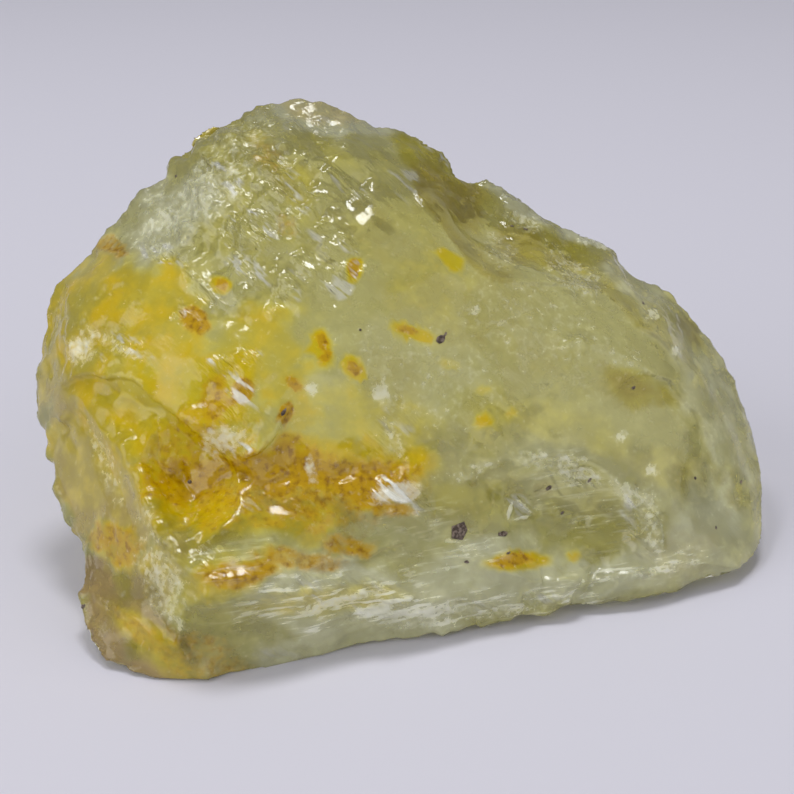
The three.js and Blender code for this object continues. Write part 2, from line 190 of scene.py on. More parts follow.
OLIVE = ovals(
    ((250, 200), (190, 110), -42, 0.45),
    ((400, 240), (90, 60), -42, 0.2),
    ((330, 170), (80, 50), -42, 0.4),
    ((150, 240), (80, 50), 30, 0.2),
    ((320, 110), (110, 30), -15, 0.4),
    ((430, 165), (60, 36), -40, 1.0),
    ((475, 205), (75, 36), -35, 0.5),
    ((560, 255), (60, 26), -20, 0.7),
    ((640, 290), (60, 40), -40, 0.7),
    ((720, 420), (50, 90), 25, 0.45),
    ((720, 520), (60, 60), 0, 0.45),
    ((640, 390), (60, 24), -25, 0.8),
    ((590, 510), (90, 60), 0, 0.5),
    ((480, 500), (70, 40), 0, 0.5),
    ((560, 370), (60, 40), -20, 0.35),
    ((200, 190), (60, 30), 35, 0.15),
    ((300, 300), (60, 40), -40, 0.3),
    ((210, 160), (60, 30), 40, 0.15),
)
# Brownish green, like thin smoke in the stone.
SMOKE = ovals(
    ((450, 195), (70, 34), -42, 0.8),
    ((520, 245), (40, 22), -15, 0.7),
    ((560, 262), (40, 12), -10, 0.6),
    ((625, 262), (44, 26), -40, 0.6),
    ((690, 330), (26, 12), -50, 0.8),
    ((630, 386), (34, 13), -15, 1.0),
    ((612, 372), (30, 10), -15, 0.6),
    ((700, 480), (50, 26), -20, 0.4),
    ((738, 490), (16, 50), 0, 0.4),
    ((640, 395), (70, 24), -10, 0.5),
    ((545, 488), (14, 12), 0, 0.8),
    ((470, 520), (60, 26), 0, 0.3),
    ((280, 180), (50, 16), -42, 0.5),
    ((330, 110), (70, 20), -20, 0.3),
    ((180, 500), (50, 40), 0, 0.3),
    ((290, 518), (100, 30), 0, 0.9),
    ((220, 530), (60, 34), 20, 0.8),
    ((130, 600), (44, 60), 0, 0.8),
    ((155, 640), (90, 40), -42, 1.0),
    ((380, 385), (60, 44), 0, 0.4),
    ((410, 270), (120, 60), -42, 0.35),
    ((500, 330), (120, 60), -30, 0.35),
)
CREAM = ovals(
    ((80, 425), (44, 80), 12, 1.1),
    ((115, 490), (40, 80), 18, 1.1),
    ((80, 490), (36, 56), 14, 1.1),
    ((60, 370), (40, 70), 0, 0.7),
    ((110, 630), (50, 42), -35, 0.6),
    ((180, 665), (80, 26), -15, 0.4),
    ((320, 108), (80, 20), -10, 0.5),
    ((105, 255), (22, 16), -30, 0.6),
)
BLUSH = ovals(
    ((100, 645), (46, 40), -20, 1.0),
    ((100, 600), (26, 30), 0, 0.8),
    ((150, 672), (70, 16), -10, 0.8),
    ((165, 530), (26, 50), 25, 0.5),
    ((80, 400), (30, 40), 0, 0.3),
    ((150, 580), (40, 44), 10, 0.5),
    ((92, 578), (34, 26), 0, 0.9),
    ((135, 615), (50, 40), 0, 0.6),
)
# Painted light: where light comes through the clear stone, or shines off its glassy lower band, the colour
# is painted pale.
PAINTED_LIGHT = ovals(
    ((330, 592), (110, 46), 8, 1.1),
    ((385, 606), (90, 30), 8, 1.5),
    ((470, 578), (130, 44), 10, 1.0),
    ((610, 578), (130, 30), 10, 1.1),
    ((720, 540), (60, 90), 0, 0.9),
    ((590, 480), (150, 60), -10, 0.35),
    ((730, 420), (50, 110), 20, 0.7),
    ((680, 340), (60, 30), -45, 0.4),
    ((170, 215), (80, 44), 40, 0.8),
    ((320, 108), (110, 30), -10, 1.2),
    ((640, 285), (60, 30), -45, 0.7),
    ((80, 430), (44, 90), 14, 1.0),
    ((90, 265), (44, 34), 30, 0.8),
    ((360, 642), (140, 28), 8, 1.8),
    ((150, 200), (60, 30), 45, 0.4),
    ((410, 530), (60, 30), 0, 0.3),
    ((520, 204), (60, 13), -30, 0.8),
    ((590, 238), (50, 12), -15, 0.9),
    ((625, 265), (24, 12), -50, 0.5),
)
# Where the stone is bruised or full of tiny cracks, and looks white. Some ovals are painted highlights:
# white spots and lines where the stone glints, and a small bright triangle.
MILK_AND_GLINTS = ovals(
    ((165, 585), (24, 66), 22, 0.6),
    ((150, 540), (18, 46), 22, 0.4),
    ((235, 140), (60, 30), 30, 0.35),
    ((170, 215), (70, 40), 35, 0.5),
    ((215, 180), (50, 30), 20, 0.5),
    ((650, 525), (18, 52), 12, 0.65),
    ((511, 511), (13, 2.4), 75, 1.3),
    ((525, 507), (13, 2.4), -42, 1.3),
    ((521, 519), (13, 2.0), 15, 1.2),
    ((630, 492), (36, 14), -35, 0.75),
    ((575, 475), (40, 14), -25, 0.6),
    ((545, 460), (60, 12), -5, 0.5),
    ((430, 622), (60, 10), 8, 0.5),
    ((500, 612), (50, 10), 9, 0.6),
    ((650, 572), (90, 7), 11, 0.5),
    ((376, 610), (26, 9), 14, 1.3),
    ((340, 600), (60, 6), 14, 0.9),
    ((420, 612), (60, 8), 6, 0.9),
    ((400, 492), (36, 13), 5, 1.1),
    ((310, 468), (8, 22), 10, 0.7),
    ((380, 392), (14, 12), 0, 1.0),
    ((313, 391), (12, 7), 0, 1.0),
    ((82, 350), (17, 22), 10, 0.8),
    ((598, 243), (34, 12), -15, 0.7),
    ((525, 222), (34, 13), -25, 0.55),
    ((575, 272), (50, 26), -30, 0.5),
    ((500, 250), (30, 22), -20, 0.4),
    ((225, 438), (34, 18), 20, 0.7),
    ((477, 311), (6, 6), 0, 1.2),
    ((652, 315), (10, 7), 0, 0.9),
    ((677, 350), (8, 7), 0, 0.9),
    ((620, 435), (9, 7), 0, 0.9),
    ((650, 470), (7, 9), 0, 0.9),
    ((395, 440), (9, 40), 20, 0.5),
    ((112, 345), (50, 10), -30, 0.5),
    ((105, 465), (14, 60), 18, 0.5),
    ((470, 470), (50, 12), 20, 0.4),
    ((620, 355), (50, 20), -30, 0.3),
    ((540, 330), (120, 60), -20, 0.25),
    ((430, 380), (100, 70), -20, 0.25),
)
# Fine white threads, which run with the fan under the front ridge and along the lower edge, and are painted
# brighter as the glassy sheen of that low band: partly painted highlight.
WISPS_AND_SHEEN = ovals(
    ((320, 602), (130, 34), 8, 1.0),
    ((395, 606), (60, 24), 8, 1.7),
    ((230, 565), (60, 24), 20, 0.4),
    ((520, 600), (150, 26), 9, 1.0),
    ((440, 560), (90, 30), 12, 0.6),
    ((640, 570), (110, 18), 10, 0.8),
    ((420, 520), (60, 26), 20, 0.4),
    ((580, 500), (90, 50), -30, 0.4),
)
# Where crests and tiny steps glitter.
SPARKLE = ovals(
    ((250, 126), (20, 16), -40, 1.0),
    ((310, 125), (34, 22), -20, 0.8),
    ((212, 165), (24, 12), -30, 0.9),
    ((258, 160), (14, 16), -40, 0.9),
    ((285, 168), (26, 20), -40, 1.0),
    ((290, 197), (38, 12), -40, 1.1),
    ((350, 187), (38, 12), -42, 0.8),
    ((405, 185), (30, 24), -42, 0.6),
    ((225, 190), (34, 12), 30, 0.7),
    ((248, 232), (40, 28), -35, 1.2),
    ((300, 235), (40, 12), -20, 0.7),
    ((335, 275), (28, 26), -50, 1.0),
    ((350, 243), (14, 14), -45, 0.9),
    ((160, 253), (30, 14), -25, 1.0),
    ((205, 288), (48, 12), -42, 1.0),
    ((178, 315), (12, 8), 0, 0.9),
    ((250, 273), (36, 18), -30, 0.8),
    ((288, 290), (24, 26), -40, 0.8),
    ((275, 312), (14, 12), 20, 1.0),
    ((378, 158), (24, 12), 35, 0.8),
    ((435, 160), (34, 20), -35, 0.7),
    ((232, 365), (44, 20), 10, 1.1),
    ((240, 400), (36, 40), 0, 0.6),
    ((160, 205), (40, 14), -20, 0.5),
    ((90, 345), (26, 30), 0, 0.7),
    ((130, 345), (50, 16), -30, 0.6),
    ((235, 450), (30, 14), 20, 0.9),
    ((250, 505), (34, 14), 10, 0.4),
    ((330, 510), (50, 16), 10, 0.4),
    ((395, 490), (44, 20), 0, 1.1),
    ((425, 500), (16, 22), 0, 1.0),
    ((520, 508), (20, 18), 0, 0.8),
    ((575, 475), (40, 16), -25, 0.9),
    ((640, 520), (28, 56), 15, 0.8),
    ((380, 610), (60, 22), 8, 0.8),
    ((500, 605), (90, 18), 8, 0.8),
    ((600, 235), (30, 16), -15, 0.7),
    ((390, 430), (30, 60), -15, 0.5),
    ((330, 590), (80, 26), 8, 0.6),
    ((180, 560), (60, 60), 20, 0.35),
    ((290, 650), (60, 14), 5, 0.5),
)

# Where the break is rough.
ROUGH = ovals(
    ((260, 215), (170, 95), -42, 1.0),
    ((90, 330), (62, 62), 0, 0.8),
    ((300, 120), (110, 36), -10, 0.9),
    ((440, 165), (80, 40), -35, 0.8),
    ((540, 235), (110, 36), -25, 0.8),
    ((240, 400), (60, 50), 0, 0.6),
    ((340, 490), (110, 30), 0, 0.6),
    ((240, 580), (60, 26), 0, 0.5),
    ((640, 530), (40, 60), 15, 0.6),
    ((500, 612), (200, 20), 9, 0.7),
    ((650, 300), (60, 30), -40, 0.5),
    ((90, 560), (50, 60), 0, 0.5),
    ((200, 560), (50, 70), 20, 0.5),
)
# Where the break ran clean: the edges there stay whole.
CLEAN = ovals(
    ((745, 450), (70, 170), 20, 1.0),
    ((640, 580), (150, 40), 10, 0.8),
    ((680, 350), (60, 60), -40, 0.7),
    ((125, 400), (75, 40), 35, 1.2),
)

# Edges that stand proud on one side: the path with its high side on the left, how wide the high side
# reaches and how high the edge is in mm.
LEDGES = paths(
    ([(48, 392), (80, 376), (117, 376), (142, 386), (166, 402), (190, 420), (206, 434), (224, 450),
      (240, 459)], 60, 1.0),
    ([(240, 459), (256, 452), (268, 440), (278, 424), (292, 402)], 36, 0.8),
    ([(405, 178), (422, 200), (438, 222), (452, 242), (464, 258), (476, 272), (494, 283)], 60, 0.4),
    ([(494, 283), (535, 285), (572, 286), (605, 293), (622, 312), (636, 326), (656, 338), (676, 358),
      (694, 384)], 60, 0.5),
    ([(600, 400), (640, 372), (668, 380), (700, 420), (722, 468)], 40, 0.4),
    ([(296, 572), (330, 562), (356, 560), (382, 548), (410, 540)], 24, 0.5),
    ([(232, 311), (214, 292), (196, 276), (180, 262)], 26, 0.7),
    ([(320, 217), (300, 206), (280, 194), (262, 182)], 26, 0.8),
    ([(370, 208), (352, 192), (338, 176), (324, 162)], 26, 0.8),
    ([(276, 252), (256, 236), (240, 222), (225, 212)], 20, 0.6),
    ([(200, 156), (212, 164), (226, 174)], 16, 0.5),
    ([(440, 150), (470, 178), (505, 200), (540, 216)], 40, 0.5),
)
# Where smoke stops at an edge: the path with the smoky side on its left, how far the smoke reaches and
# its strength.
SMOKY_EDGES = paths(
    ([(402, 172), (422, 200), (438, 222), (452, 242), (464, 258), (476, 272), (494, 283), (535, 285)],
      52, 0.75),
    ([(535, 285), (572, 286), (605, 293), (622, 312), (636, 326), (656, 338), (676, 358), (694, 384)],
      40, 0.5),
)
# Crests with a high middle: the path, how wide it reaches on either side and how high it is in mm.
CRESTS = paths(
    ([(57, 384), (82, 398), (102, 424), (124, 452), (142, 483), (152, 508), (161, 533), (180, 560),
      (204, 584)], 22, 0.9),
    ([(186, 556), (210, 582), (245, 580), (290, 574)], 16, 0.6),
    ([(500, 476), (530, 458), (560, 454), (590, 464), (618, 480), (642, 502), (658, 530), (661, 560)],
      14, 0.8),
    ([(410, 540), (430, 545), (470, 560), (520, 578), (580, 584), (640, 574), (700, 566)], 14, 0.7),
    ([(436, 540), (420, 522), (400, 512), (372, 516)], 12, 0.5),
    ([(508, 523), (514, 498), (534, 514), (508, 523)], 5, 0.5),
    ([(332, 528), (344, 548), (360, 556)], 8, 0.5),
    ([(85, 590), (110, 600), (140, 622), (165, 650)], 16, 0.5),
    ([(548, 606), (590, 598), (640, 590), (700, 578)], 14, 1.0),
    ([(430, 634), (475, 625), (525, 616)], 12, 0.7),
)
# Long smooth hollows: the path, how wide it reaches on either side and how deep it is in mm.
GROOVES = paths(
    ([(70, 395), (96, 440), (118, 490), (136, 540)], 18, 0.5),
    ([(330, 530), (346, 556), (362, 560)], 4, 0.3),
)

# ---- Making the stone's mesh ----

SAME_POINT = 0.001 * MM
RIDGE_ANGLE = math.radians(14)
ROUNDINGS = 2
VOXEL = 0.34 * MM
TRIANGLES = 190000


def link(name, mesh):
    piece = bpy.data.objects.new(name, mesh)
    bpy.context.scene.collection.objects.link(piece)
    return piece


def apply_modifiers(piece):
    graph = bpy.context.evaluated_depsgraph_get()
    mesh = bpy.data.meshes.new_from_object(piece.evaluated_get(graph))
    piece.modifiers.clear()
    old = piece.data
    piece.data = mesh
    bpy.data.meshes.remove(old)


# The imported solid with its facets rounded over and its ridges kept, as a fine even mesh. Also gives the
# middles of the ridges.
def smooth_copy(source):
    stone = link("raw_quartz", source.data.copy())
    stone.data.materials.clear()
    work = bmesh.new()
    work.from_mesh(stone.data)
    bmesh.ops.remove_doubles(work, verts=work.verts, dist=SAME_POINT)
    crease = work.edges.layers.float.new("crease_edge")
    ridge = []
    for edge in work.edges:
        if len(edge.link_faces) != 2:
            continue
        sharpness = (edge.calc_face_angle() - RIDGE_ANGLE) / RIDGE_ANGLE
        edge[crease] = min(1, max(0, sharpness))
        if sharpness > 1:
            ridge.append((edge.verts[0].co + edge.verts[1].co) / 2)
    work.to_mesh(stone.data)
    work.free()
    rounding = stone.modifiers.new("rounding", "SUBSURF")
    rounding.levels = rounding.render_levels = ROUNDINGS
    even = stone.modifiers.new("even", "REMESH")
    even.mode = "VOXEL"
    even.voxel_size = VOXEL
    even.use_smooth_shade = True
    apply_modifiers(stone)
    return stone, ridge


def read_points(mesh):
    points = np.empty(len(mesh.vertices) * 3)
    mesh.vertices.foreach_get("co", points)
    return points.reshape(-1, 3)


def read_normals(mesh):
    normals = np.empty(len(mesh.vertices) * 3)
    mesh.vertex_normals.foreach_get("vector", normals)
    return normals.reshape(-1, 3)


# ---- Fields: one number for each point of the mesh ----


def step(low, high, value):
    share = np.clip((value - low) / (high - low), 0, 1)
    return share * share * (3 - 2 * share)


GRID = 64  # cells after which the facets repeat


# Soft random waves, about -1 to 1.
def clouds(place, length, seed, octaves=2):
    moved = place / length + seed
    return np.array([noise.fractal(p, 1.0, 2.0, octaves) for p in moved.tolist()])


STRAY_LENGTH = 6.0
STRAY_OCTAVES = 4
STRAY_SEEDS = (12.2, 18.8)


# A sideways shift for each point, so that no mark ends in an even line.
def stray(place):
    return np.column_stack([clouds(place, STRAY_LENGTH, seed, STRAY_OCTAVES) for seed in STRAY_SEEDS])


def turned(place, slope):
    along = place[:, 0] * math.cos(slope) + place[:, 1] * math.sin(slope)
    across = place[:, 1] * math.cos(slope) - place[:, 0] * math.sin(slope)
    return np.column_stack([along, across, place[:, 2:]])


SHALLOWEST_BOWL = 0.35  # as a share of the deepest
BOWL_CHANCE = 7.31  # sets the chances of neighbouring bowls apart


# Small bowls side by side, each as deep as chance has it, with crisp crests where they meet: -1 to 0.
def bowls(place, size, seed):
    depth = np.empty(len(place))
    for i, point in enumerate((place / size + seed).tolist()):
        distances, centres = noise.voronoi(point)
        share = distances[0] / max(distances[1], 1e-6)
        chance = noise.cell(centres[0] * BOWL_CHANCE)
        depth[i] = -(SHALLOWEST_BOWL + (1 - SHALLOWEST_BOWL) * chance) * (1 - share * share)
    return depth


# Flat facets at chance tilts, which meet in crisp edges: -1 to 1. Chance heights on a grid of tetrahedra,
# with straight runs between them.
def facets(place, size, seed):
    heights = np.random.default_rng(seed).uniform(-1, 1, (GRID, GRID, GRID))
    skewed = place / size
    skewed = skewed + skewed.sum(axis=1, keepdims=True) / 3
    cell = np.floor(skewed).astype(int)
    inside = skewed - cell
    order = np.argsort(-inside, axis=1)
    share = np.take_along_axis(inside, order, axis=1)
    weights = -np.diff(share, axis=1, prepend=1, append=0)
    corner = cell.copy()
    rise = weights[:, 0] * heights[tuple((corner % GRID).T)]
    for i in range(3):
        corner[np.arange(len(corner)), order[:, i]] += 1
        rise += weights[:, i + 1] * heights[tuple((corner % GRID).T)]
    return rise


# The broad face's side of the stone: from how far back (mm along w) and from how far turned away from the
# face it begins, and where it is whole.
FRONT_DEPTH = (-34, -14)
FRONT_FACING = (-0.3, 0.1)


# Where each point is: in the face's frame, and as seen from straight in front of the face.
class Places:
    def __init__(self, mesh):
        self.points = read_points(mesh)
        self.normals = read_normals(mesh)
        self.place = (self.points - np.array(FACE_MIDDLE)) @ FACE_AXES.T / MM
        nearness = 1 - self.place[:, 2] / VIEW_DISTANCE
        self.seen = self.place[:, :2] / nearness[:, None]
        facing = self.normals @ np.array(FACE_W)
        self.front = step(*FRONT_DEPTH, self.place[:, 2]) * step(*FRONT_FACING, facing)


def oval(seen, at, reach, slope):
    offset = turned(seen - np.array(at), math.radians(slope))
    return np.clip(1 - np.hypot(offset[:, 0] / reach[0], offset[:, 1] / reach[1]), 0, 1)


WANDERING = 0.45  # how far an oval's edge strays, as a share of its width
OVAL_RIM = 0.6  # the share of an oval's reach over which it fades


# The strongest of the ovals at each point, 0 off the broad face.
def marks(places, shapes, wander):
    most = np.zeros(len(wander))
    for at, reach, slope, strength in shapes:
        seen = places.seen + WANDERING * min(reach) * wander
        most = np.maximum(most, strength * step(0, OVAL_RIM, oval(seen, at, reach, slope)))
    return most * places.front


PATH_END = 0.18  # the share of a path over which it fades at each end


# For each point: how far it is from the path, over 0 on the path's left, and how much of the path is left
# there, which fades at its ends.
def beside(seen, path):
    corners = [np.array(corner) for corner in path]
    lengths = [np.linalg.norm(b - a) for a, b in zip(corners, corners[1:])]
    best = np.full(len(seen), np.inf)
    side = np.ones(len(seen))
    travelled = np.zeros(len(seen))
    gone = 0
    for a, b, length in zip(corners, corners[1:], lengths):
        run = (b - a) / length
        share = np.clip((seen - a) @ run, 0, length)
        offset = seen - a - share[:, None] * run
        distance = np.hypot(offset[:, 0], offset[:, 1])
        nearer = distance < best
        best = np.where(nearer, distance, best)
        here = np.where(run[0] * offset[:, 1] > run[1] * offset[:, 0], 1, -1)
        side = np.where(nearer, here, side)
        travelled = np.where(nearer, gone + share, travelled)
        gone += length
    end = np.minimum(travelled, gone - travelled)
    return best * side, step(0, PATH_END * gone, end)


LEDGE_DROP = 0.35  # mm over which a ledge falls
CREST_POWER = 1.6  # over 1, so that a crest is narrow at its top


def ledge_rise(seen, path, width, height):
    distance, fade = beside(seen, path)
    high_side = np.clip(1 - distance / width, 0, 1) ** 2 * (distance > 0)
    drop = np.clip(1 + distance / LEDGE_DROP, 0, 1) * (distance <= 0)
    return height * fade * (high_side + drop)


def crest_rise(seen, path, width, height):
    distance, fade = beside(seen, path)
    return height * fade * np.clip(1 - np.abs(distance) / width, 0, 1) ** CREST_POWER


# ---- Shaping the stone ----

HACKLE_SLOPE = math.radians(-42)
THREAD_SLOPE = math.radians(8)
# Ovals that reach over a zone: the middle, the reach along and across, and the slope.
HACKLES = area((262, 205), (180, 105), -42)
STRIPES = area((400, 320), (330, 220), -42)
FAN = area((320, 605), (150, 46), 6)
BLOW = spot(415, 600)  # where the blow fell that the fan spreads from
FAN_REACH = 14  # mm along each ridge of the fan
FAN_RIDGES = 11  # ridges in each radian
FAN_START = (2, 6)  # mm from the blow, where the ridges begin and where they are full
ZONE_RIM = 0.5  # the share of a zone's reach over which it fades

# Facets: how high they are in mm, how large (along, across and out, where they differ) and their seed.
RELIEF = {
    "hackles": (0.65, [11.0, 3.0, 4.5], 3),
    "small hackles": (0.1, [4.6, 1.2, 1.8], 4),
    "stripes": (0.28, [16.0, 3.2, 5.0], 10),
    "fan": (0.4, 1.0, 12),
    "rough": (0.7, 4.0, 5),
    "grit": (0.25, 1.5, 6),
    "glitter": (0.55, [5.5, 1.4, 1.8], 7),
    "chipped edge": (0.8, 5.0, 8),
    "frayed edge": (0.4, 2.0, 11),
    "all over": (0.25, 11.0, 9),
}
WAVES = 0.10  # mm
WAVE_LENGTH = 9.0
WAVE_SEED = 4.2
BOWL_DEPTH = 0.3
BOWL_SIZE = 3.2
BOWL_SEED = 7.7
EDGE_REACH = (0.3, 3.0)  # mm from a ridge, where chips are full and where they end
CLEAN_LOSS = 0.8  # the share of the chips that a clean break has lost
FAR_ROUGHNESS = 0.5  # how rough the sides are that the broad face doesn't show
LEFT_BY_HACKLES = 0.4  # the share of the rough facets that is left among the hackles
FORM_STRAY = 0.5  # mm that the zones and edges wander
SEATING = 0.8  # mm over the floor below which the relief fades


def near_ridges(points, ridge):
    tree = KDTree(len(ridge))
    for i, middle in enumerate(ridge):
        tree.insert(middle, i)
    tree.balance()
    return np.array([tree.find(p)[2] for p in points.tolist()]) / MM


def relief(name, place):
    height, size, seed = RELIEF[name]
    return height * facets(place, size, seed)


def zone(seen, shape):
    return step(0, ZONE_RIM, oval(seen, *shape))


# The low ridges that fan out to the left under the front ridge, from where the blow fell.
def fan_ridges(places):
    away = places.seen - np.array(BLOW)
    distance = np.hypot(away[:, 0], away[:, 1])
    angle = np.arctan2(away[:, 1], away[:, 0])
    ray = np.column_stack([distance / FAN_REACH, angle * FAN_RIDGES, np.zeros(len(angle))])
    return zone(places.seen, FAN) * step(*FAN_START, distance) * relief("fan", ray)


def shape_stone(stone, ridge):
    mesh = stone.data
    places = Places(mesh)
    points, place, front = places.points, places.place, places.front
    wander = stray(place)
    seen = places.seen + FORM_STRAY * wander
    edge = 1 - step(*EDGE_REACH, near_ridges(points, ridge))
    edge *= 1 - CLEAN_LOSS * marks(places, CLEAN, wander)
    rough = np.maximum(marks(places, ROUGH, wander), FAR_ROUGHNESS * (1 - front))
    hackles = zone(seen, HACKLES) * front
    glitter = marks(places, SPARKLE, wander)
    along = turned(place, HACKLE_SLOPE)

    rise = WAVES * clouds(place, WAVE_LENGTH, WAVE_SEED)
    rise += hackles * (relief("hackles", along) + relief("small hackles", along))
    rise += zone(seen, STRIPES) * front * relief("stripes", along)
    rise += front * fan_ridges(places)
    rise += rough * (1 - (1 - LEFT_BY_HACKLES) * hackles) * relief("rough", place)
    rise += rough * (relief("grit", place) + BOWL_DEPTH * bowls(place, BOWL_SIZE, BOWL_SEED))
    rise += glitter * relief("glitter", along)
    rise += edge * (relief("chipped edge", place) + relief("frayed edge", place))
    rise += relief("all over", place)
    for path, width, height in LEDGES:
        rise += front * ledge_rise(seen, path, width, height)
    for path, width, height in CRESTS:
        rise += front * crest_rise(seen, path, width, height)
    for path, width, depth in GROOVES:
        rise -= front * crest_rise(seen, path, width, depth)
    above_floor = step(0, SEATING, points[:, 2] / MM)
    points += places.normals * (rise * above_floor * MM)[:, None]
    points = np.clip(points, np.array(cad_low), np.array(cad_high))
    mesh.vertices.foreach_set("co", points.ravel())
    mesh.update()


def thin_out(stone):
    triangles = sum(len(p.vertices) - 2 for p in stone.data.polygons)
    thinning = stone.modifiers.new("thinning", "DECIMATE")
    thinning.ratio = min(1, TRIANGLES / triangles)
    apply_modifiers(stone)


# ---- Painting the stone ----


def store(mesh, name, values):
    attribute = mesh.attributes.new(name, "FLOAT", "POINT")
    attribute.data.foreach_set("value", values.astype(np.float32))


PAINT = {
    "yellow": YELLOW,
    "amber": AMBER,
    "olive": OLIVE,
    "cream": CREAM,
    "blush": BLUSH,
    "painted_light": PAINTED_LIGHT,
    "milk_and_glints": MILK_AND_GLINTS,
    "wisps_and_sheen": WISPS_AND_SHEEN,
    "sparkle": SPARKLE,
    "rough": ROUGH,
}

SMOKE_STRAY = 0.1  # mm that the edges of the smoke wander
SMOKE_RIM = 0.3  # mm over which they fade on either side


def smoke_at(places, wander):
    smoke = marks(places, SMOKE, wander)
    for path, width, strength in SMOKY_EDGES:
        distance, fade = beside(places.seen + SMOKE_STRAY * wander, path)
        smoky_side = step(-SMOKE_RIM, SMOKE_RIM, distance) * np.clip(1 - distance / width, 0, 1)
        smoke = np.maximum(smoke, strength * fade * smoky_side * places.front)
    return smoke


def paint_stone(stone):
    mesh = stone.data
    places = Places(mesh)
    wander = stray(places.place)
    for name, shapes in PAINT.items():
        store(mesh, name, marks(places, shapes, wander))
    store(mesh, "smoke", smoke_at(places, wander))
    store(mesh, "front", places.front)


# ---- Dark grains in the surface ----

# A grain: the pixel of its middle, its length and width in mm, its turn in degrees and its thickness in mm.
GRAINS = [
    ((460, 531), (3.2, 2.3), 35, 0.7),
    ((503, 534), (1.9, 0.8), 15, 0.5),
    ((441, 339), (1.5, 1.3), 20, 0.5),
    ((446, 334), (0.8, 0.4), 60, 0.4),
    ((284, 412), (1.2, 0.6), 60, 0.4),
    ((549, 488), (1.2, 0.7), 40, 0.3),
    ((562, 513), (0.9, 0.4), 40, 0.3),
    ((643, 303), (1.2, 0.4), 70, 0.3),
    ((512, 226), (0.7, 0.5), 0, 0.3),
    ((525, 229), (1.1, 0.5), -10, 0.3),
    ((176, 176), (0.6, 0.5), 0, 0.3),
    ((360, 330), (0.4, 0.4), 0, 0.3),
    ((467, 562), (0.7, 0.5), 0, 0.3),
    ((508, 553), (0.8, 0.4), 20, 0.3),
    ((695, 478), (0.6, 0.5), 0, 0.3),
    ((741, 482), (0.7, 0.5), 40, 0.3),
    ((716, 528), (0.7, 0.4), 60, 0.3),
    ((590, 480), (1.4, 0.4), 45, 0.3),
    ((83, 606), (0.9, 0.6), 30, 0.4),
    ((88, 640), (0.6, 0.4), 30, 0.3),
    ((190, 482), (0.7, 0.6), 0, 0.3),
    ((633, 388), (0.8, 0.5), 30, 0.3),
]

GRAIN_SEED = 21
CORNERS = (5, 8)  # the fewest corners of a grain, and one more than the most
UNEVEN = 0.25  # how far a grain's corners stray, as a share of its size
# A grain's rings of corners: how high each is over the stone, and its share of the grain's width.
GRAIN_RINGS = ((-0.7, 1.0), (0.1, 1.0), (0.3, 0.7))


def grain_corners(size, turn, random):
    count = random.integers(*CORNERS)
    slope = math.radians(turn)
    for i in range(count):
        angle = math.tau * i / count
        reach = 0.5 * (1 + UNEVEN * random.uniform(-1, 1))
        x = math.cos(angle) * size[0] * reach
        y = math.sin(angle) * size[1] * reach
        yield x * math.cos(slope) - y * math.sin(slope), x * math.sin(slope) + y * math.cos(slope)


# A flat grain with uneven corners, sunk in the stone to most of its thickness.
def add_grain(work, stone, at, size, turn, thick, random):
    eye = FACE_MIDDLE + FACE_W * VIEW_DISTANCE * MM
    target = FACE_MIDDLE + (FACE_U * at[0] + FACE_V * at[1]) * MM
    hit, place, normal, _ = stone.ray_cast(eye, (target - eye).normalized())
    if not hit:
        return
    across = normal.cross(FACE_V).normalized()
    up = normal.cross(across)
    corners = [(across * u + up * v) * MM for u, v in grain_corners(size, turn, random)]
    rings = []
    for height, share in GRAIN_RINGS:
        middle = place + normal * height * thick * MM
        rings.append([work.verts.new(middle + corner * share) for corner in corners])
    for low_ring, high_ring in zip(rings, rings[1:]):
        for i in range(len(corners)):
            work.faces.new((low_ring[i - 1], low_ring[i], high_ring[i], high_ring[i - 1]))
    work.faces.new(rings[-1])
    work.faces.new(reversed(rings[0]))


def make_grains(stone):
    work = bmesh.new()
    random = np.random.default_rng(GRAIN_SEED)
    for middle, size, turn, thick in GRAINS:
        add_grain(work, stone, spot(*middle), size, turn, thick, random)
    bmesh.ops.recalc_face_normals(work, faces=work.faces)
    mesh = bpy.data.meshes.new("dark_grains")
    work.to_mesh(mesh)
    work.free()
    return link("dark_grains", mesh)


# ---- Materials ----


def linear(red, green, blue):
    def channel(value):
        share = value / 255
        return share / 12.92 if share <= 0.04045 else ((share + 0.055) / 1.055) ** 2.4

    return (channel(red), channel(green), channel(blue), 1)


